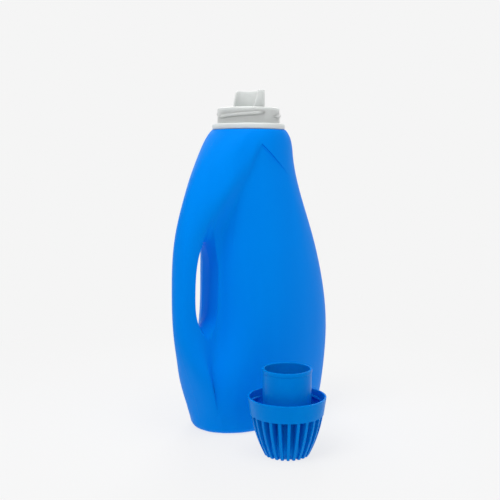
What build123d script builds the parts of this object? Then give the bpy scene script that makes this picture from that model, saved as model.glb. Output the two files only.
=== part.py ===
from build123d import *
import os
from collections import namedtuple
from math import cos, radians, sin, tan

# Frame: the neck's axis is Z, the base stands on z = 0, the bottle pours towards +X
# and its handle is at -X. All sizes are in millimetres.

# Bottle body
wall = 1.5
body_height = 246.8
belly_front = 81.5
belly_back = 82.5
belly_depth = 86.0
heel_round = 6.0
pushup_margin = 18.0
pushup_height = 4.0
pushup_slope = 8.0

# Handle
hole_foot = -58.0
hole_rise = 9.024
hole_drop = 2.686
hole_width = 19.5
hole_lean = 3.8
hole_draft = 7.0
flare_depth = 12.0
bar_flare = 6.3
end_flare = 11.0
scoop = 6.6
bar_depth = 21.0
bar_round = 9.0

# Label panel, sunk into both sides below the shoulder, with its levels taken from the body's top
panel_depth = 1.2
panel_drop = 124.8
panel_front = 45.0
panel_front_drop = 66.8
panel_apex = (-16.0, -11.8)
panel_rear = ((-28.0, -34.8), (-33.0, -50.8), (-37.0, -78.8))

# Neck and pour spout
neck_radius = 24.0
neck_wall = 1.6
bead_height = 0.7
bead_width = 2.0
bead_level = 8.0
snap_clearance = 0.2
collar_wall = 1.8
collar_height = 13.2
collar_round = 1.2
flange_radius = 30.4
flange_height = 4.6
flange_round = 0.8
seat_gap = 0.3
spout_web = 1.6
well_wall = 1.4
well_depth = 37.0
floor_thickness = 1.6
floor_tilt = 8.0
channel_radius = 13.6
channel_wall = 1.6
channel_rise = 15.0
channel_back_rim = -6.5
channel_back_top = -1.7
channel_corner = 3.0
drain_width = 9.0
drain_height = 9.0

# Measuring cap, standing on its closed end beside the bottle
cap_x = -45.5
cap_y = -84.5
cap_wall = 1.5
skirt_rim_radius = 29.8
skirt_rim_height = 44.9
band_height = 13.5
band_radius = 27.8
cup_radius = 18.4
cup_wall = 1.3
cup_height = 66.1
cup_lip = 0.4
cup_lip_height = 3.0
cup_bend = 12.0
cup_bend_radius = 14.0
cap_floor = 1.8
foot_radius = 17.0
foot_round = 3.0
fin_count = 24
fin_width = 2.2
fin_bulge = 1.2
fin_setback = 0.3
fin_root = 5.0

# One horizontal section of the body. Height, front, back and depth are shares of the body's
# own sizes. The belly is widest at mid and would end in a point at waist. Turn is the angle
# around that end, in degrees, where the handle takes over, and dish is how far the side is
# hollowed just before it. Grip is the handle's depth as a share of the bar's depth, and tail says
# how full its rounded back is. Sink is the share of the label panel's depth that the section has;
# below zero the slimmer body lies outside the bottle there, so the panel fades out above it.
Section = namedtuple("Section", "height front back depth mid power waist turn dish grip tail sink")

body_sections = (
    Section(0.000, 0.870, 0.675, 0.88, 10.0, 2.4, -55.5, 60.0, 0.0, 4.30, 2.4, 0.0),
    Section(0.055, 0.920, 0.705, 0.92, 12.0, 2.4, -58.0, 64.0, 0.0, 4.30, 2.4, 0.0),
    Section(0.180, 0.980, 0.830, 0.98, 14.0, 2.4, -60.0, 68.0, 0.0, 1.70, 2.4, 0.0),
    Section(0.320, 1.000, 0.975, 1.00, 16.0, 2.4, -49.0, 75.0, 3.0, 1.05, 2.4, 0.0),
    Section(0.480, 0.915, 1.000, 0.98, 16.0, 2.4, -45.0, 76.0, 1.2, 1.00, 2.4, -0.8),
    Section(0.645, 0.750, 0.955, 0.93, 12.0, 2.3, -44.5, 72.0, 0.8, 1.05, 2.3, 0.4),
    Section(0.790, 0.570, 0.820, 0.86, 5.0, 2.2, -44.0, 54.0, 0.0, 2.20, 1.7, 0.8),
    Section(0.910, 0.495, 0.607, 0.79, 0.0, 2.1, -42.0, 36.0, 0.0, 2.80, 1.9, 1.0),
    Section(0.973, 0.450, 0.445, 0.76, 0.0, 2.1, -36.5, 30.0, 0.0, 4.30, 2.1, 1.0),
    Section(1.000, 0.390, 0.370, 0.71, 0.0, 2.0, -30.5, 30.0, 0.0, 4.30, 2.0, 1.0),
)

# The finger hole lies between the section where the handle leaves the belly and the one where
# it runs into the shoulder
hole_bottom = body_sections[3].height * body_height + hole_rise
hole_top = body_sections[5].height * body_height - hole_drop

# Places on an outline: angles around its front, shares of the turn around the belly's rear end,
# and the shoulder of the handle's rounded back
front_angles = (28, 52, 74)
rear_shares = (0.36, 0.66, 0.86, 1.0)
dish_shares = (0, 0, 1, 0.5)
tail_power = 2.0
panel_weights = (0, 0, -0.5, -0.1, 0.65, 1, 0.85, 0.5, 0.25, 0, 0, 0, 0)
tip_reach = 0.22
tip_depth = 0.63
spacing_power = 0.75

# Depths of the finger hole's outlines, as shares of the flare's depth
hole_steps = (0, 0.33, 0.67, 1, 1.33, 1.85)

# Points around the finger hole from its lowest place: share of its half width, share of its
# length, and share of the scoop, which leads the lower end forward into the belly
hole_form = (
    (0.0, 0.0, 1.0),
    (0.80, 0.10, 0.3),
    (1.0, 0.42, 0),
    (0.74, 0.83, 0),
    (0.0, 1.0, 0),
    (-0.74, 0.83, 0),
    (-1.0, 0.42, 0),
    (-0.80, 0.10, 0.8),
)


def oval(x, reach, depth, power):
    """Half depth of a rounded oval at a distance x from its widest place."""
    return depth * (1 - min(abs(x / reach), 1) ** power) ** (1 / power)


def half_outline(section, inset, sink):
    """Points of one section from its front to its back, on the +Y side."""
    front = section.front * belly_front - inset
    back = section.back * belly_back - inset
    depth = section.depth * belly_depth / 2 - inset
    grip = section.grip * bar_depth / 2 - inset
    mid = section.mid
    length = mid - section.waist - inset
    share = 2 / section.power
    points = [(front, 0)]
    for angle in front_angles:
        x = mid + (front - mid) * cos(radians(angle)) ** share
        points.append((x, depth * sin(radians(angle)) ** share))
    points.append((mid, depth))

    def half_depth(x, hollow=0):
        belly = oval(x - mid, length, depth, tail_power) - hollow
        handle = oval(x - mid, mid + back, depth, section.tail)
        return max(belly, min(handle, grip))

    for share, hollow in zip(rear_shares, dish_shares):
        web = mid - length * sin(radians(share * section.turn)) ** (2 / tail_power)
        points.append((web, half_depth(web, hollow * section.dish)))
    tip_round = min(bar_round, (web + back) / 3)
    bar = tip_round - back
    floor = (web + bar) / 2
    points.append((floor, half_depth(floor)))
    points.append((bar, half_depth(bar)))
    tip = tip_reach * tip_round - back
    points.append((tip, min(half_depth(tip), tip_depth * grip)))
    points.append((-back, 0))
    sunk = section.sink * sink
    drops = [weight * sunk if sunk > 0 else sunk for weight in panel_weights]
    if inset:
        drops = [max(drop, 0) for drop in drops]
    return [(x, y - drop) for (x, y), drop in zip(points, drops)]


def full_outline(section, inset, sink=0):
    """Closed list of points around one section."""
    half = half_outline(section, inset, sink)
    return half + [(x, -y) for x, y in half[-2:0:-1]]


def hole_outline(depth, inset):
    """Closed list of points around the finger hole at a depth from the parting plane."""
    flare = (depth / flare_depth) ** 2
    front = inset + depth * tan(radians(hole_draft))
    back = inset + bar_flare * flare
    ends = inset + end_flare * flare
    half_width = (hole_width + front + back) / 2
    shift = (front - back) / 2
    height = hole_top - hole_bottom + 2 * ends
    points = []
    for across, up, lead in hole_form:
        points.append((shift + across * half_width + lead * scoop * flare, up * height - ends))
    return points


def spacing_of(points):
    """Running values around a closed outline, which all outlines of one loft share."""
    spacing = [0.0]
    for start, end in zip(points, points[1:] + points[:1]):
        spacing.append(spacing[-1] + (Vector(*end) - Vector(*start)).length ** spacing_power)
    return spacing


def body_form(inset, bottom, top, sink=0):
    """Smooth body through all sections, moved in from the outside by an inset."""
    spacing = spacing_of(full_outline(body_sections[4], 0))
    with BuildPart() as form:
        for section in body_sections:
            outline = full_outline(section, inset, sink)
            with BuildSketch(Plane.XY.offset(bottom + section.height * (top - bottom))):
                with BuildLine():
                    add(Edge.make_spline(outline, periodic=True, parameters=spacing))
                make_face()
        loft()
    return form.part


def label_panel():
    """What the label panels take off the body: the space outside a slightly slimmer body."""
    with BuildPart() as panel:
        with BuildSketch(Plane((0, 0, body_height), x_dir=(1, 0, 0), z_dir=(0, -1, 0))):
            with BuildLine():
                foot = Line((panel_rear[-1][0], -panel_drop), (panel_front, -panel_drop))
                side = Line(foot @ 1, (panel_front, -panel_front_drop))
                crease = Line(side @ 1, panel_apex)
                Spline(crease @ 1, *panel_rear, foot @ 0)
            make_face()
        extrude(amount=belly_depth, both=True)
        add(body_form(0, 0, body_height, panel_depth), mode=Mode.SUBTRACT)
    return panel.part


def finger_hole(inset):
    """Through-hole of the handle: narrowest at the parting plane, flared towards both sides."""
    lean = radians(hole_lean)
    plane = Plane((hole_foot, 0, hole_bottom), x_dir=(cos(lean), 0, -sin(lean)), z_dir=(0, -1, 0))
    spacing = spacing_of(hole_outline(0, 0))
    with BuildPart() as hole:
        for step in hole_steps:
            depth = step * flare_depth
            with BuildSketch(plane.offset(depth)):
                with BuildLine():
                    add(Edge.make_spline(hole_outline(depth, inset), periodic=True, parameters=spacing))
                make_face()
        loft()
        mirror(about=Plane.XZ)
    return hole.part


def pushup(inset):
    """Raised middle of the base, so that the bottle stands on a ring."""
    foot = body_sections[0]
    front = foot.front * belly_front
    back = foot.back * belly_back
    middle = (front - back) / 2
    length = (front + back) / 2 - pushup_margin + inset
    depth = foot.depth * belly_depth / 2 - pushup_margin + inset
    with BuildPart() as dome:
        with BuildSketch(Plane.XY):
            with Locations((middle, 0)):
                Ellipse(length, depth)
        with BuildSketch(Plane.XY.offset(pushup_height + inset)):
            with Locations((middle, 0)):
                Ellipse(length - pushup_slope, depth - pushup_slope)
        loft()
    return dome.part


# Levels and radii that follow from the sizes above
flange_bottom = body_height + seat_gap
flange_top = flange_bottom + flange_height
spout_rim = flange_top + collar_height
neck_top = spout_rim - spout_web
neck_bore = neck_radius - neck_wall
bead_centre = body_height + bead_level
collar_bore = neck_radius + snap_clearance
collar_radius = collar_bore + collar_wall
well_radius = neck_bore - snap_clearance
well_bore = well_radius - well_wall
well_bottom = spout_rim - well_depth
channel_top = spout_rim + channel_rise


def bead_profile(radius, room):
    """Points up the side of the snap bead, or of its groove with some room around it."""
    half = bead_width / 2 + room
    crown = bead_width / 5 + room
    return [
        (radius, bead_centre - half),
        (radius + bead_height, bead_centre - crown),
        (radius + bead_height, bead_centre + crown),
        (radius, bead_centre + half),
    ]


# Bottle: outer form with its neck, less the cavity
with BuildPart() as cavity:
    add(body_form(wall, wall, body_height - wall, panel_depth))
    fillet(cavity.edges().group_by(Axis.Z)[0], heel_round - wall)
    add(pushup(wall), mode=Mode.SUBTRACT)
    add(finger_hole(wall), mode=Mode.SUBTRACT)

with BuildPart() as bottle:
    add(body_form(0, 0, body_height))
    fillet(bottle.edges().group_by(Axis.Z)[0], heel_round)
    add(label_panel(), mode=Mode.SUBTRACT)
    add(pushup(0), mode=Mode.SUBTRACT)
    add(finger_hole(0), mode=Mode.SUBTRACT)
    with BuildSketch(Plane.XZ):
        with BuildLine():
            Polyline(
                [(0, body_height - 2 * wall), (neck_radius, body_height - 2 * wall)]
                + bead_profile(neck_radius, 0)
                + [(neck_radius, neck_top), (0, neck_top)],
                close=True,
            )
        make_face()
    revolve(axis=Axis.Z)
    add(cavity.part, mode=Mode.SUBTRACT)
    with BuildSketch(Plane.XY.offset(neck_top)):
        Circle(neck_bore)
    extrude(amount=-(neck_top - body_height + 2 * wall), mode=Mode.SUBTRACT)

# Tilted floor of the spout's well, lowest under the open side of the channel
tilt = radians(floor_tilt)
floor_level = well_bottom + well_bore * tan(tilt) + floor_thickness
floor_top = Plane((0, 0, floor_level), z_dir=(-sin(tilt), 0, cos(tilt)))
channel_bore = channel_radius - channel_wall
with BuildPart() as well_floor:
    with BuildSketch(Plane.XY.offset(well_bottom)):
        Circle(well_bore + well_wall / 2)
        Circle(channel_bore, mode=Mode.SUBTRACT)
    extrude(amount=well_depth / 2)
    split(bisect_by=floor_top, keep=Keep.BOTTOM)
    split(bisect_by=floor_top.offset(-floor_thickness), keep=Keep.TOP)

# Half-round channel, open towards the handle, with a drain slot at the floor
back_slope = (channel_back_top - channel_back_rim) / channel_rise
channel_back_foot = channel_back_rim - well_depth * back_slope
with BuildPart() as channel:
    with BuildSketch(Plane.XZ) as side_view:
        with BuildLine():
            Polyline(
                (channel_back_foot, well_bottom),
                (channel_back_top, channel_top),
                (2 * channel_radius, channel_top),
                (2 * channel_radius, well_bottom),
                close=True,
            )
        make_face()
        fillet(side_view.vertices().group_by(Axis.Y)[-1].sort_by(Axis.X)[0], channel_corner)
    extrude(amount=2 * channel_radius, both=True)
    with BuildSketch(Plane.XY.offset(well_bottom)):
        Circle(channel_radius)
        Circle(channel_bore, mode=Mode.SUBTRACT)
    extrude(amount=well_depth + channel_rise, mode=Mode.INTERSECT)
    with BuildSketch(Plane.YZ.offset(-2 * channel_radius)):
        with Locations((0, floor_level)):
            Rectangle(drain_width, 2 * drain_height)
    extrude(amount=2 * channel_radius, mode=Mode.SUBTRACT)
    split(bisect_by=floor_top.offset(-floor_thickness), keep=Keep.TOP)

# Pour spout: collar, flange and well turned about the neck's axis, with the floor and channel
with BuildPart() as pour_spout:
    with BuildSketch(Plane.XZ) as turned:
        with BuildLine():
            Polyline(
                [
                    (collar_bore, flange_bottom),
                    (flange_radius, flange_bottom),
                    (flange_radius, flange_top),
                    (collar_radius, flange_top),
                    (collar_radius, spout_rim),
                    (well_bore, spout_rim),
                    (well_bore, well_bottom),
                    (well_radius, well_bottom),
                    (well_radius, neck_top),
                    (collar_bore, neck_top),
                ]
                + bead_profile(collar_bore, snap_clearance)[::-1],
                close=True,
            )
        make_face()
        fillet(turned.vertices().group_by(Axis.X)[-1], flange_round)
        fillet(turned.vertices().group_by(Axis.Y)[-1].sort_by(Axis.X)[-1], collar_round)
    revolve(axis=Axis.Z)
    add(well_floor.part)
    add(channel.part)

# Measuring cap: cup, roof and skirt turned about its own axis, with fins below the skirt
cap_plane = Plane((cap_x, cap_y, 0), x_dir=(1, 0, 0), z_dir=(0, -1, 0))
cap_axis = Axis((cap_x, cap_y, 0), (0, 0, 1))
band_bottom = skirt_rim_height - band_height
cup_bore = cup_radius - cup_wall
with BuildPart() as measuring_cap:
    with BuildSketch(cap_plane) as cap_section:
        with BuildLine():
            foot = Line((0, 0), (foot_radius - foot_round, 0))
            heel = RadiusArc(foot @ 1, (cup_radius, cup_bend), -cup_bend_radius)
            Polyline(
                heel @ 1,
                (cup_radius, band_bottom),
                (band_radius, band_bottom),
                (skirt_rim_radius, skirt_rim_height),
                (skirt_rim_radius - cap_wall, skirt_rim_height),
                (band_radius - cap_wall, band_bottom + cap_wall),
                (cup_radius, band_bottom + cap_wall),
                (cup_radius, cup_height - cup_lip_height),
                (cup_radius + cup_lip, cup_height - cup_lip_height + cup_lip),
                (cup_radius + cup_lip, cup_height),
                (cup_bore, cup_height),
                (cup_bore, cup_bend),
            )
            floor_edge = (foot_radius - foot_round - cup_wall, cap_floor)
            inner = RadiusArc((cup_bore, cup_bend), floor_edge, cup_bend_radius)
            Polyline(inner @ 1, (0, cap_floor), (0, 0))
        make_face()
    revolve(axis=cap_axis)
    with BuildSketch(cap_plane) as fin:
        with BuildLine():
            outer_edge = ThreePointArc(
                (band_radius - fin_setback, band_bottom + cap_wall / 2),
                ((band_radius + foot_radius) / 2 + fin_bulge, band_bottom / 2),
                (foot_radius, 0),
            )
            Polyline(
                outer_edge @ 1,
                (foot_radius - fin_root, 0),
                (cup_radius - cup_wall / 2, cup_bend),
                (cup_radius - cup_wall / 2, band_bottom + cap_wall / 2),
                outer_edge @ 0,
            )
        make_face()
    fin_blade = extrude(amount=fin_width / 2, both=True, mode=Mode.PRIVATE)
    for number in range(fin_count):
        add(fin_blade.rotate(cap_axis, number * 360 / fin_count))

os.makedirs("parts", exist_ok=True)
bottle.part.label = "bottle"
pour_spout.part.label = "pour_spout"
measuring_cap.part.label = "measuring_cap"
export_step(bottle.part, "parts/bottle.step")
export_step(pour_spout.part, "parts/pour_spout.step")
export_step(measuring_cap.part, "parts/measuring_cap.step")
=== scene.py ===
"""Laundry detergent bottle with its pour spout and measuring cap, dressed for a studio picture."""

import logging
import math
from dataclasses import dataclass
from enum import Enum
from typing import Callable, ClassVar

import bmesh
import bpy
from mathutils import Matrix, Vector

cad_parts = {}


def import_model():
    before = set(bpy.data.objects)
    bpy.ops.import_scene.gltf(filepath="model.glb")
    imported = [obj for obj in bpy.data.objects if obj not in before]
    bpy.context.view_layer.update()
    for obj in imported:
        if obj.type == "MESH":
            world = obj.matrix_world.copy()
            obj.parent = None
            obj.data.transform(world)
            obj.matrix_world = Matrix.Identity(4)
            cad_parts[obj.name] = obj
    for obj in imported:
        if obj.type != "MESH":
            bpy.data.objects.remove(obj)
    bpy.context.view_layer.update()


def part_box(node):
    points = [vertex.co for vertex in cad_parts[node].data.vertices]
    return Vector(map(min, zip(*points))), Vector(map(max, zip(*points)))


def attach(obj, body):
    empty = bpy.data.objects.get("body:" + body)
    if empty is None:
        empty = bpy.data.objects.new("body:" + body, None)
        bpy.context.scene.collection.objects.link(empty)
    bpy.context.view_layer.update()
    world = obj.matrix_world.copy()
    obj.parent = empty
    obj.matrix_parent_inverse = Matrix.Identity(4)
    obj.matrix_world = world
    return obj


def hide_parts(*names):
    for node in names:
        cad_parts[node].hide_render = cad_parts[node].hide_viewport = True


MM = 0.001
BODY = "root"
PLASTIC_IOR = 1.4

log = logging.getLogger("detergent_bottle")

Colour = tuple[float, float, float]
Point = tuple[float, float, float]

BOTTLE_MIDDLE: Point = (0.0, 0.0, 0.13)


class Slot(Enum):
    """The record's material slots."""

    BOTTLE = "blue_bottle"
    SPOUT = "white_spout"
    CAP = "blue_cap"


class Node(Enum):
    """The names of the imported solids."""

    BOTTLE = "bottle"
    SPOUT = "pour_spout"
    CAP = "measuring_cap"


def linear(red: int, green: int, blue: int) -> Colour:
    """Turn a screen colour into the linear values that shaders use.

    Args:
        red: Red from 0 to 255.
        green: Green from 0 to 255.
        blue: Blue from 0 to 255.

    Returns:
        The three linear values from 0 to 1.
    """

    def channel(value: int) -> float:
        """One channel by the screen's standard curve."""
        share = value / 255
        return share / 12.92 if share <= 0.04045 else ((share + 0.055) / 1.055) ** 2.4

    return channel(red), channel(green), channel(blue)


def opaque(colour: Colour) -> tuple[float, float, float, float]:
    """Add a full alpha to a colour."""
    return (*colour, 1.0)


class Graph:
    """A thin wrapper that adds and joins nodes in one node tree."""

    def __init__(self, tree: bpy.types.NodeTree) -> None:
        """Keep the tree, emptied."""
        self.tree = tree
        self.tree.nodes.clear()

    def add(self, kind: str, inputs: dict | None = None, **properties: object) -> bpy.types.Node:
        """Add one node.

        Args:
            kind: The node's type, without the ShaderNode prefix.
            inputs: Values or output sockets, by the input's name or number.
            **properties: Values for the node's own settings.

        Returns:
            The new node.
        """
        prefix = "" if kind.startswith("Node") else "ShaderNode"
        node = self.tree.nodes.new(prefix + kind)
        for name, value in properties.items():
            setattr(node, name, value)
        for key, value in (inputs or {}).items():
            if isinstance(value, bpy.types.NodeSocket):
                self.tree.links.new(value, node.inputs[key])
            else:
                node.inputs[key].default_value = value
        return node

    def math(self, operation: str, *values: object) -> bpy.types.NodeSocket:
        """Add a math node and give its result's socket."""
        return self.add("Math", dict(enumerate(values)), operation=operation).outputs[0]

    def ramp(
        self, value: object, low: float, high: float, start: float = 0.0, end: float = 1.0
    ) -> bpy.types.NodeSocket:
        """Map a value smoothly from one range to another and give the result's socket."""
        inputs = {"Value": value, "From Min": low, "From Max": high, "To Min": start, "To Max": end}
        return self.add("MapRange", inputs, interpolation_type="SMOOTHSTEP").outputs[0]


class EffectGroups:
    """Shader node groups that more than one finish uses, each built once."""

    @staticmethod
    def new_group(name: str, inputs: dict[str, float], outputs: tuple[str, ...]) -> bpy.types.NodeTree:
        """Make an empty group with number sockets.

        Args:
            name: The group's name.
            inputs: Input names with their default values.
            outputs: Output names.

        Returns:
            The new group.
        """
        group = bpy.data.node_groups.new(name, "ShaderNodeTree")
        for label, value in inputs.items():
            socket = group.interface.new_socket(label, in_out="INPUT", socket_type="NodeSocketFloat")
            socket.default_value = value
        for label in outputs:
            group.interface.new_socket(label, in_out="OUTPUT", socket_type="NodeSocketFloat")
        return group

    @staticmethod
    def mould_skin() -> bpy.types.NodeTree:
        """Relief that a blasted mould leaves on plastic: fine grain over slow ripples.

        Returns:
            A group that puts out a height in metres.
        """
        name = "mould_skin"
        if name in bpy.data.node_groups:
            return bpy.data.node_groups[name]
        inputs = {
            "Grain Scale": 1500.0,
            "Grain Depth": 0.00001,
            "Ripple Scale": 30.0,
            "Ripple Depth": 0.0001,
        }
        group = EffectGroups.new_group(name, inputs, ("Height",))
        graph = Graph(group)
        entry = graph.add("NodeGroupInput")
        place = graph.add("TexCoord").outputs["Object"]
        grain = graph.add(
            "TexNoise",
            {"Vector": place, "Scale": entry.outputs["Grain Scale"], "Detail": 2.0, "Roughness": 0.6},
        )
        ripple = graph.add(
            "TexNoise", {"Vector": place, "Scale": entry.outputs["Ripple Scale"], "Detail": 1.0}
        )
        fine = graph.math("MULTIPLY", grain.outputs[0], entry.outputs["Grain Depth"])
        slow = graph.math("MULTIPLY", ripple.outputs[0], entry.outputs["Ripple Depth"])
        graph.add("NodeGroupOutput", {"Height": graph.math("ADD", fine, slow)})
        return group

    @staticmethod
    def pigment_flow() -> bpy.types.NodeTree:
        """Faint streaks of pigment along the height, where the melt ran, and soft handling marks.

        Returns:
            A group that puts out a streak mask and a rub mask, both from 0 to 1.
        """
        name = "pigment_flow"
        if name in bpy.data.node_groups:
            return bpy.data.node_groups[name]
        group = EffectGroups.new_group(name, {"Streak Scale": 60.0, "Rub Scale": 45.0}, ("Streak", "Rub"))
        graph = Graph(group)
        entry = graph.add("NodeGroupInput")
        place = graph.add("TexCoord").outputs["Object"]
        stretched = graph.add("Mapping", {"Vector": place, "Scale": (1.0, 1.0, 0.12)}).outputs[0]
        streak = graph.add(
            "TexNoise",
            {"Vector": stretched, "Scale": entry.outputs["Streak Scale"], "Detail": 3.0, "Distortion": 0.4},
        )
        rub = graph.add(
            "TexNoise",
            {"Vector": place, "Scale": entry.outputs["Rub Scale"], "Detail": 5.0, "Roughness": 0.7},
        )
        graph.add(
            "NodeGroupOutput",
            {
                "Streak": graph.ramp(streak.outputs[0], 0.3, 0.7),
                "Rub": graph.ramp(rub.outputs[0], 0.48, 0.75),
            },
        )
        return group


@dataclass(frozen=True)
class MouldedPlastic:
    """A coloured plastic as it leaves its mould.

    Attributes:
        name: The material's name.
        colour: Main colour, linear.
        streak: Colour of the pigment streaks, linear.
        roughness: Plain roughness.
        rubbed: Roughness where hands have rubbed it.
        grain_scale: Fineness of the grain, per metre.
        grain_depth: Depth of the grain in metres.
        ripple_scale: Fineness of the slow ripples, per metre.
        ripple_depth: Depth of the slow ripples in metres.
        waxy: Share of light that goes a little way into the plastic.
        waxy_depth: How far that light goes, in metres.
        gloss: Strength of the surface's reflection, 0.5 for plain plastic.
        glint: Tint of that reflection when seen straight on, linear.
        seam_width: Width in metres of the mould's parting seam in the plane y = 0, or 0 for none.
        seam_height: Height of that seam in metres.
    """

    name: str
    colour: Colour
    streak: Colour
    roughness: float
    rubbed: float
    grain_scale: float
    grain_depth: float
    ripple_scale: float
    ripple_depth: float
    waxy: float
    waxy_depth: float
    gloss: float
    glint: Colour
    seam_width: float = 0.0
    seam_height: float = 0.0

    def material(self) -> bpy.types.Material:
        """Build the material's nodes.

        Returns:
            The finished material.
        """
        made = bpy.data.materials.new(self.name)
        made.use_nodes = True
        graph = Graph(made.node_tree)
        flow = graph.add("Group", node_tree=EffectGroups.pigment_flow())
        skin = graph.add(
            "Group",
            {
                "Grain Scale": self.grain_scale,
                "Grain Depth": self.grain_depth,
                "Ripple Scale": self.ripple_scale,
                "Ripple Depth": self.ripple_depth,
            },
            node_tree=EffectGroups.mould_skin(),
        )
        base = graph.add(
            "Mix",
            {"Factor": flow.outputs["Streak"], "A": opaque(self.colour), "B": opaque(self.streak)},
            data_type="RGBA",
        )
        rough = graph.ramp(flow.outputs["Rub"], 0.0, 1.0, self.roughness, self.rubbed)
        height = skin.outputs["Height"]
        if self.seam_width:
            height = graph.math("ADD", height, self.seam(graph))
        bump = graph.add("Bump", {"Height": height, "Strength": 1.0, "Distance": 1.0})
        shader = graph.add(
            "BsdfPrincipled",
            {
                "Base Color": base.outputs["Result"],
                "Roughness": rough,
                "Normal": bump.outputs[0],
                "IOR": PLASTIC_IOR,
                "Specular IOR Level": self.gloss,
                "Specular Tint": opaque(self.glint),
                "Subsurface Weight": self.waxy,
                "Subsurface Radius": (1.0, 1.0, 1.0),
                "Subsurface Scale": self.waxy_depth,
            },
        )
        graph.add("OutputMaterial", {"Surface": shader.outputs[0]})
        return made

    def seam(self, graph: Graph) -> bpy.types.NodeSocket:
        """Relief of the parting seam.

        Args:
            graph: The material's graph.

        Returns:
            The socket of the seam's height.
        """
        place = graph.add("TexCoord").outputs["Object"]
        across = graph.add("SeparateXYZ", {0: place}).outputs["Y"]
        return graph.ramp(graph.math("ABSOLUTE", across), 0.0, self.seam_width, self.seam_height, 0.0)


BOTTLE_FINISH = MouldedPlastic(
    name="blue_polyethylene",
    colour=linear(0, 136, 242),
    streak=linear(0, 134, 240),
    roughness=0.44,
    rubbed=0.38,
    grain_scale=1400.0,
    grain_depth=0.00001,
    ripple_scale=22.0,
    ripple_depth=0.00008,
    waxy=0.06,
    waxy_depth=0.002,
    gloss=0.06,
    glint=linear(0, 170, 255),
    seam_width=0.0005,
    seam_height=0.00008,
)
CAP_FINISH = MouldedPlastic(
    name="blue_polypropylene",
    colour=linear(0, 131, 224),
    streak=linear(0, 128, 220),
    roughness=0.34,
    rubbed=0.30,
    grain_scale=2400.0,
    grain_depth=0.000005,
    ripple_scale=60.0,
    ripple_depth=0.00005,
    waxy=0.2,
    waxy_depth=0.003,
    gloss=0.1,
    glint=linear(0, 170, 255),
)
SPOUT_FINISH = MouldedPlastic(
    name="white_polypropylene",
    colour=linear(216, 221, 219),
    streak=linear(214, 219, 217),
    roughness=0.36,
    rubbed=0.32,
    grain_scale=2400.0,
    grain_depth=0.000004,
    ripple_scale=60.0,
    ripple_depth=0.00002,
    waxy=0.85,
    waxy_depth=0.008,
    gloss=0.4,
    glint=(1.0, 1.0, 1.0),
)


class MeshShop:
    """Helpers that make and finish meshes.

    Attributes:
        WELD_GAP: Corners nearer than this many millimetres become one.
        FLAT_ANGLE: Faces that turn by less than this many degrees count as one flat face.
        SPECK: Edges shorter than this many millimetres are dissolved.
        ROUND_STEPS: Number of faces across a rounded edge.
    """

    WELD_GAP: ClassVar[float] = 0.002
    FLAT_ANGLE: ClassVar[float] = 0.2
    SPECK: ClassVar[float] = 0.0005
    ROUND_STEPS: ClassVar[int] = 3

    @staticmethod
    def copy_node(node: Node, name: str) -> bpy.types.Object:
        """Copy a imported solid's mesh into a new object with its seams welded.

        Args:
            node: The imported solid.
            name: The new object's name.

        Returns:
            The new object, linked into the scene.
        """
        mesh = bpy.data.objects[node.value].data.copy()
        mesh.name = name
        mesh.materials.clear()
        work = bmesh.new()
        work.from_mesh(mesh)
        bmesh.ops.remove_doubles(work, verts=work.verts, dist=MeshShop.WELD_GAP * MM)
        bmesh.ops.recalc_face_normals(work, faces=work.faces)
        work.to_mesh(mesh)
        work.free()
        return MeshShop.link(mesh, name)

    @staticmethod
    def round_edges(made: bpy.types.Object, angle: float, width: float) -> None:
        """Round the outward edges of a moulding a little, as a mould leaves them.

        Args:
            made: The object to change.
            angle: Edges that turn by more than this many degrees are rounded.
            width: Width of the rounding in millimetres.
        """
        work = bmesh.new()
        work.from_mesh(made.data)
        bmesh.ops.dissolve_limit(
            work,
            angle_limit=math.radians(MeshShop.FLAT_ANGLE),
            verts=work.verts,
            edges=work.edges,
            delimit={"NORMAL"},
        )
        turned = [
            edge
            for edge in work.edges
            if edge.is_manifold and edge.is_convex and edge.calc_face_angle() > math.radians(angle)
        ]
        bmesh.ops.bevel(
            work,
            geom=turned,
            offset=width * MM,
            offset_type="OFFSET",
            segments=MeshShop.ROUND_STEPS,
            profile=0.5,
            affect="EDGES",
            clamp_overlap=False,
        )
        bmesh.ops.dissolve_degenerate(work, dist=MeshShop.SPECK * MM, edges=work.edges)
        bmesh.ops.triangulate(work, faces=[face for face in work.faces if len(face.verts) > 4])
        work.to_mesh(made.data)
        work.free()

    @staticmethod
    def link(mesh: bpy.types.Mesh, name: str) -> bpy.types.Object:
        """Put a mesh into the scene.

        Args:
            mesh: The mesh.
            name: The new object's name.

        Returns:
            The new object.
        """
        made = bpy.data.objects.new(name, mesh)
        bpy.context.scene.collection.objects.link(made)
        return made

    @staticmethod
    def smooth(made: bpy.types.Object, angle: float) -> None:
        """Shade smooth, with sharp edges kept crisp.

        Args:
            made: The object to change.
            angle: Edges that turn by more than this many degrees stay crisp.
        """
        if "custom_normal" in made.data.attributes:
            made.data.attributes.remove(made.data.attributes["custom_normal"])
        made.data.shade_smooth()
        made.data.set_sharp_from_angle(angle=math.radians(angle))

    @staticmethod
    def flatten_faces(made: bpy.types.Object) -> None:
        """Let the large faces beside rounded edges shade flat.

        Args:
            made: The object to change.
        """
        made.modifiers.new("flat_faces", "WEIGHTED_NORMAL").keep_sharp = True
        graph = bpy.context.evaluated_depsgraph_get()
        result = bpy.data.meshes.new_from_object(made.evaluated_get(graph))
        made.modifiers.clear()
        made.data = result

    @staticmethod
    def dress(made: bpy.types.Object, finish: bpy.types.Material, slot: Slot) -> None:
        """Give a piece its material and its body.

        Args:
            made: The piece.
            finish: Its material.
            slot: The record's slot for that material; not used.
        """
        made.data.materials.clear()
        made.data.materials.append(finish)
        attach(made, BODY)


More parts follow.
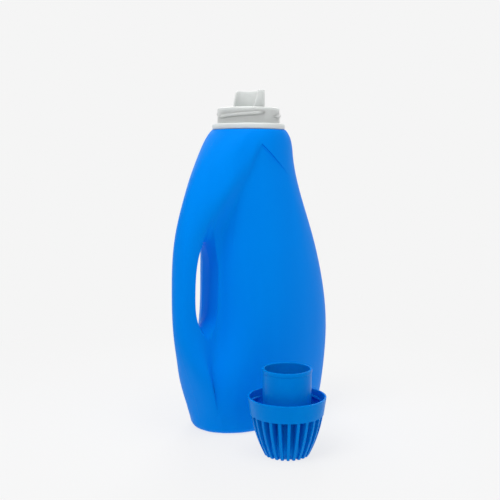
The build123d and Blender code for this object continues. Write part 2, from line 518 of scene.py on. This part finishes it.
@dataclass
class ThreadRidge:
    """Helical ridges of a multi-start thread with run-out ends.

    Attributes:
        centre: Axis of the thread in the plane, in millimetres.
        radius: Radius of the wall at a height, both in millimetres.
        proud: How far the crest stands off the wall; less than 0 is inwards.
        sunk: How far the root reaches into the wall.
        root: Width of the ridge at the wall.
        starts: Number of ridges around the axis.
        first: Angle in degrees where the first ridge begins.
        sweep: Angle in degrees that one ridge covers.
        run_out: Angle in degrees over which an end fades.
        low: Height of a ridge's middle where it begins.
        high: Height of a ridge's middle where it ends.
        steps: Number of pieces along one ridge.
        SECTION: Rounded section of a ridge: shares of its width and of its height, from below.
        END_WIDTH: Share of the width that is left where a ridge ends.
        END_HEIGHT: Share of the height that is left where a ridge ends.
    """

    SECTION: ClassVar[tuple[tuple[float, float], ...]] = (
        (-0.5, 0.0),
        (-0.38, 0.5),
        (-0.22, 0.86),
        (0.0, 1.0),
        (0.22, 0.86),
        (0.38, 0.5),
        (0.5, 0.0),
    )
    END_WIDTH: ClassVar[float] = 0.4
    END_HEIGHT: ClassVar[float] = 0.02

    centre: tuple[float, float]
    radius: Callable[[float], float]
    proud: float
    sunk: float
    root: float
    starts: int
    first: float
    sweep: float
    run_out: float
    low: float
    high: float
    steps: int = 64

    def profile(self, height: float, fade: float) -> list[tuple[float, float]]:
        """Corners of the ridge's section at one place.

        Args:
            height: Height of the section's middle.
            fade: From 0 at the end of a ridge to 1 along its full part.

        Returns:
            Radius and height of each corner, in millimetres.
        """
        inwards = -1 if self.proud < 0 else 1
        corners = []
        width = self.root * (self.END_WIDTH + (1 - self.END_WIDTH) * fade)
        for across, out in self.SECTION:
            level = height + across * width
            corners.append((self.radius(level) + self.proud * out * fade, level))
        last = corners[-1][1]
        corners.append((self.radius(last) - inwards * self.sunk, last))
        corners.append((self.radius(corners[0][1]) - inwards * self.sunk, corners[0][1]))
        return corners

    def build(self, name: str) -> bpy.types.Object:
        """Sweep every ridge.

        Args:
            name: The new object's name.

        Returns:
            The ridges as one object.
        """
        work = bmesh.new()
        for start in range(self.starts):
            rings = []
            for step in range(self.steps + 1):
                share = step / self.steps
                turned = share * self.sweep
                near_end = min(turned, self.sweep - turned) / self.run_out
                fade = max(math.sin(min(near_end, 1.0) * math.pi / 2), self.END_HEIGHT)
                height = self.low + (self.high - self.low) * share
                angle = math.radians(self.first + start * 360 / self.starts + turned)
                ring = []
                for radius, level in self.profile(height, fade):
                    x = self.centre[0] + radius * math.cos(angle)
                    y = self.centre[1] + radius * math.sin(angle)
                    ring.append(work.verts.new(Vector((x, y, level)) * MM))
                rings.append(ring)
            for near, far in zip(rings, rings[1:]):
                for index in range(len(near)):
                    after = (index + 1) % len(near)
                    work.faces.new((near[index], near[after], far[after], far[index]))
            work.faces.new(rings[0])
            work.faces.new(rings[-1])
        bmesh.ops.recalc_face_normals(work, faces=work.faces)
        mesh = bpy.data.meshes.new(name)
        work.to_mesh(mesh)
        work.free()
        return MeshShop.link(mesh, name)


@dataclass
class BottleBody:
    """The blow-moulded bottle with its hollow handle.

    Attributes:
        crisp_angle: Edges that turn by more than this many degrees stay crisp.
    """

    crisp_angle: float = 40.0

    def build(self) -> None:
        """Build and dress the bottle."""
        skin = MeshShop.copy_node(Node.BOTTLE, "bottle_skin")
        MeshShop.smooth(skin, self.crisp_angle)
        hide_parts(Node.BOTTLE.value)
        MeshShop.dress(skin, BOTTLE_FINISH.material(), Slot.BOTTLE)
        log.info("bottle skin: %d faces", len(skin.data.polygons))


@dataclass
class PourSpout:
    """The fitting that is snapped over the neck, with its screw collar.

    Attributes:
        crisp_angle: Edges that turn by more than this many degrees are rounded.
        edge_round: Width of their rounding in millimetres.
        collar_radius: Radius of the collar that carries the thread, in millimetres.
        ridge_proud: How far a ridge of the thread stands off the collar, in millimetres.
        ridge_sunk: How far a ridge reaches into the collar, in millimetres.
        ridge_root: Width of a ridge at the collar, in millimetres.
        ridge_count: Number of ridges.
        ridge_start: Angle in degrees where the first ridge begins.
        ridge_sweep: Angle in degrees that one ridge covers.
        ridge_run_out: Angle in degrees over which a ridge's end fades.
        ridge_low: Height where a ridge begins, in millimetres.
        ridge_high: Height where a ridge ends, in millimetres.
    """

    crisp_angle: float = 35.0
    edge_round: float = 0.25
    collar_radius: float = 26.0
    ridge_proud: float = 1.2
    ridge_sunk: float = 0.3
    ridge_root: float = 3.3
    ridge_count: int = 3
    ridge_start: float = -203.0
    ridge_sweep: float = 98.0
    ridge_run_out: float = 14.0
    ridge_low: float = 257.3
    ridge_high: float = 260.3

    def build(self) -> None:
        """Build and dress the spout and its thread."""
        finish = SPOUT_FINISH.material()
        moulding = MeshShop.copy_node(Node.SPOUT, "spout_moulding")
        MeshShop.round_edges(moulding, self.crisp_angle, self.edge_round)
        MeshShop.smooth(moulding, self.crisp_angle)
        MeshShop.flatten_faces(moulding)
        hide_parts(Node.SPOUT.value)
        MeshShop.dress(moulding, finish, Slot.SPOUT)
        thread = ThreadRidge(
            centre=(0.0, 0.0),
            radius=lambda height: self.collar_radius,
            proud=self.ridge_proud,
            sunk=self.ridge_sunk,
            root=self.ridge_root,
            starts=self.ridge_count,
            first=self.ridge_start,
            sweep=self.ridge_sweep,
            run_out=self.ridge_run_out,
            low=self.ridge_low,
            high=self.ridge_high,
        ).build("collar_thread")
        MeshShop.smooth(thread, self.crisp_angle)
        MeshShop.dress(thread, finish, Slot.SPOUT)
        faces = len(moulding.data.polygons), len(thread.data.polygons)
        log.info("pour spout: %d faces, thread: %d faces", *faces)


@dataclass
class MeasuringCap:
    """The finned cap that stands beside the bottle on its closed end.

    Attributes:
        crisp_angle: Edges that turn by more than this many degrees are rounded.
        edge_round: Width of their rounding in millimetres.
        skirt_low: Height of the skirt's inner floor, in millimetres.
        skirt_high: Height of the skirt's rim, in millimetres.
        bore_low: Radius inside the skirt at its floor, in millimetres.
        bore_high: Radius inside the skirt at its rim, in millimetres.
        ridge_proud: How far a ridge of the thread stands off the wall, less than 0 for inwards.
        ridge_sunk: How far a ridge reaches into the wall, in millimetres.
        ridge_root: Width of a ridge at the wall, in millimetres.
        ridge_count: Number of ridges.
        ridge_start: Angle in degrees where the first ridge begins.
        ridge_sweep: Angle in degrees that one ridge covers.
        ridge_run_out: Angle in degrees over which a ridge's end fades.
        ridge_low: Height where a ridge begins, in millimetres.
        ridge_high: Height where a ridge ends, in millimetres.
    """

    crisp_angle: float = 35.0
    edge_round: float = 0.3
    skirt_low: float = 32.9
    skirt_high: float = 44.9
    bore_low: float = 26.3
    bore_high: float = 28.3
    ridge_proud: float = -0.9
    ridge_sunk: float = 0.4
    ridge_root: float = 2.4
    ridge_count: int = 3
    ridge_start: float = -150.0
    ridge_sweep: float = 98.0
    ridge_run_out: float = 14.0
    ridge_low: float = 38.6
    ridge_high: float = 41.6

    def bore(self, height: float) -> float:
        """Radius of the skirt's inner wall at a height, in millimetres."""
        share = (height - self.skirt_low) / (self.skirt_high - self.skirt_low)
        return self.bore_low + share * (self.bore_high - self.bore_low)

    def build(self) -> None:
        """Build and dress the cap and the thread inside its skirt."""
        finish = CAP_FINISH.material()
        moulding = MeshShop.copy_node(Node.CAP, "cap_moulding")
        MeshShop.round_edges(moulding, self.crisp_angle, self.edge_round)
        MeshShop.smooth(moulding, self.crisp_angle)
        MeshShop.flatten_faces(moulding)
        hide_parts(Node.CAP.value)
        MeshShop.dress(moulding, finish, Slot.CAP)
        low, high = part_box(Node.CAP.value)
        middle = (low + high) / 2 / MM
        thread = ThreadRidge(
            centre=(middle.x, middle.y),
            radius=self.bore,
            proud=self.ridge_proud,
            sunk=self.ridge_sunk,
            root=self.ridge_root,
            starts=self.ridge_count,
            first=self.ridge_start,
            sweep=self.ridge_sweep,
            run_out=self.ridge_run_out,
            low=self.ridge_low,
            high=self.ridge_high,
        ).build("cap_thread")
        MeshShop.smooth(thread, self.crisp_angle)
        MeshShop.dress(thread, finish, Slot.CAP)
        faces = len(moulding.data.polygons), len(thread.data.polygons)
        log.info("measuring cap: %d faces, thread: %d faces", *faces)


@dataclass
class PhotoCamera:
    """The photograph's view, found from the round edges of the collar, the flange and the cap.

    Attributes:
        turn: Direction of view in degrees from +Y towards +X.
        distance: Distance of the camera from the neck's axis, in millimetres.
        aside: Distance of the camera to the right of that axis, in millimetres.
        height: Height of the camera, in millimetres.
        pitch: Angle in degrees that the camera looks down.
        lens: Focal length in millimetres.
        sensor: Width of the sensor in millimetres.
        nearest: Nearest distance that is shown, in metres.
    """

    turn: float = 46.0
    distance: float = 706.0
    aside: float = 1.25
    height: float = 220.7
    pitch: float = 6.06
    lens: float = 60.05
    sensor: float = 36.0
    nearest: float = 0.01

    def build(self) -> None:
        """Add the camera and make it the scene's."""
        turn = math.radians(self.turn)
        pitch = math.radians(self.pitch)
        ahead = Vector((math.sin(turn), math.cos(turn), 0.0))
        right = Vector((math.cos(turn), -math.sin(turn), 0.0))
        place = (self.aside * right - self.distance * ahead) * MM
        place.z = self.height * MM
        data = bpy.data.cameras.new("photo_camera")
        data.sensor_width = self.sensor
        data.lens = self.lens
        data.clip_start = self.nearest
        made = bpy.data.objects.new("photo_camera", data)
        look = ahead * math.cos(pitch) - Vector((0, 0, 1)) * math.sin(pitch)
        made.rotation_mode = "QUATERNION"
        made.rotation_quaternion = look.to_track_quat("-Z", "Y")
        made.location = place
        bpy.context.scene.collection.objects.link(made)
        bpy.context.scene.camera = made


@dataclass(frozen=True)
class SoftBox:
    """One square studio lamp that faces the bottle.

    Attributes:
        name: The lamp's name.
        place: Where it hangs, in metres.
        aim: Where it points, in metres.
        width: Side of its face, in metres.
        power: Power in watts.
    """

    name: str
    place: Point
    aim: Point
    width: float
    power: float

    def build(self) -> None:
        """Add the lamp to the scene."""
        data = bpy.data.lights.new(self.name, "AREA")
        data.shape = "SQUARE"
        data.size = self.width
        data.energy = self.power
        made = bpy.data.objects.new(self.name, data)
        made.location = self.place
        made.rotation_mode = "QUATERNION"
        made.rotation_quaternion = (Vector(self.aim) - Vector(self.place)).to_track_quat("-Z", "Y")
        bpy.context.scene.collection.objects.link(made)


@dataclass
class Studio:
    """Pale floor and background with soft light.

    Attributes:
        backdrop: Colour of the background, linear.
        ambient: Strength of the even light from all around.
        floor_radius: Radius of the floor in metres.
        floor_sides: Number of sides of the floor's outline.
        floor_colour: Colour of the floor, linear.
        floor_roughness: Roughness of the floor.
        floor_glow: Share of the background's own light in the floor beside the bottle.
        shadow_near: Distance in metres up to which the floor keeps the full shadow.
        shadow_far: Distance in metres from which the floor is the background.
        lamps: The lamps.
    """

    backdrop: Colour = linear(245, 245, 245)
    ambient: float = 0.36
    floor_radius: float = 4.0
    floor_sides: int = 96
    floor_colour: Colour = linear(246, 246, 246)
    floor_roughness: float = 0.9
    floor_glow: float = 0.83
    shadow_near: float = 0.10
    shadow_far: float = 0.42
    lamps: tuple[SoftBox, ...] = (
        SoftBox("key_lamp", (-1.0, -0.1, 1.5), BOTTLE_MIDDLE, 0.8, 11.0),
        SoftBox("fill_lamp", (0.1, -1.4, 0.85), BOTTLE_MIDDLE, 1.1, 4.5),
        SoftBox("back_lamp", (0.9, 0.9, 1.2), BOTTLE_MIDDLE, 0.8, 10.0),
        SoftBox("top_lamp", (-0.2, -0.2, 1.7), BOTTLE_MIDDLE, 0.9, 8.0),
    )

    def seen_directly(self, graph: Graph) -> bpy.types.NodeSocket:
        """Mask that is 1 for camera, glossy and transmission rays.

        Args:
            graph: The tree to add to.

        Returns:
            The mask's socket.
        """
        path = graph.add("LightPath")
        mirror = graph.math("MAXIMUM", path.outputs["Is Glossy Ray"], path.outputs["Is Transmission Ray"])
        return graph.math("MAXIMUM", path.outputs["Is Camera Ray"], mirror)

    def world(self) -> None:
        """Light the scene evenly and show a pale background."""
        world = bpy.data.worlds.new("studio")
        world.use_nodes = True
        graph = Graph(world.node_tree)
        strength = graph.ramp(self.seen_directly(graph), 0.0, 1.0, self.ambient, 1.0)
        shown = graph.add("Background", {"Color": opaque(self.backdrop), "Strength": strength})
        graph.add("OutputWorld", {"Surface": shown.outputs[0]})
        bpy.context.scene.world = world

    def floor_material(self) -> bpy.types.Material:
        """Pale matt floor that fades into the background away from the bottle.

        Returns:
            The material.
        """
        made = bpy.data.materials.new("studio_floor")
        made.use_nodes = True
        graph = Graph(made.node_tree)
        place = graph.add("TexCoord").outputs["Object"]
        away = graph.add("VectorMath", {0: place}, operation="LENGTH").outputs["Value"]
        fade = graph.ramp(away, self.shadow_near, self.shadow_far, self.floor_glow, 1.0)
        matt = graph.add(
            "BsdfPrincipled",
            {"Base Color": opaque(self.floor_colour), "Roughness": self.floor_roughness},
        )
        glow = graph.add("Emission", {"Color": opaque(self.backdrop), "Strength": 1.0})
        mixed = graph.add("MixShader", {0: fade, 1: matt.outputs[0], 2: glow.outputs[0]})
        graph.add("OutputMaterial", {"Surface": mixed.outputs[0]})
        return made

    def floor(self) -> None:
        """Lay the floor under the bottle."""
        work = bmesh.new()
        bmesh.ops.create_circle(work, cap_ends=True, segments=self.floor_sides, radius=self.floor_radius)
        mesh = bpy.data.meshes.new("studio_floor")
        work.to_mesh(mesh)
        work.free()
        made = MeshShop.link(mesh, "studio_floor")
        made.data.materials.append(self.floor_material())

    def build(self) -> None:
        """Set up floor, background and lamps."""
        bpy.context.scene.view_settings.view_transform = "Standard"
        self.world()
        self.floor()
        for lamp in self.lamps:
            lamp.build()


def main() -> None:
    """Load the frame, build and dress each sub-assembly, and set up the studio."""
    logging.basicConfig(level=logging.INFO, format="%(name)s: %(message)s")
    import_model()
    PhotoCamera().build()
    for part in (BottleBody(), PourSpout(), MeasuringCap()):
        part.build()
    Studio().build()


if __name__ == "__main__":
    main()
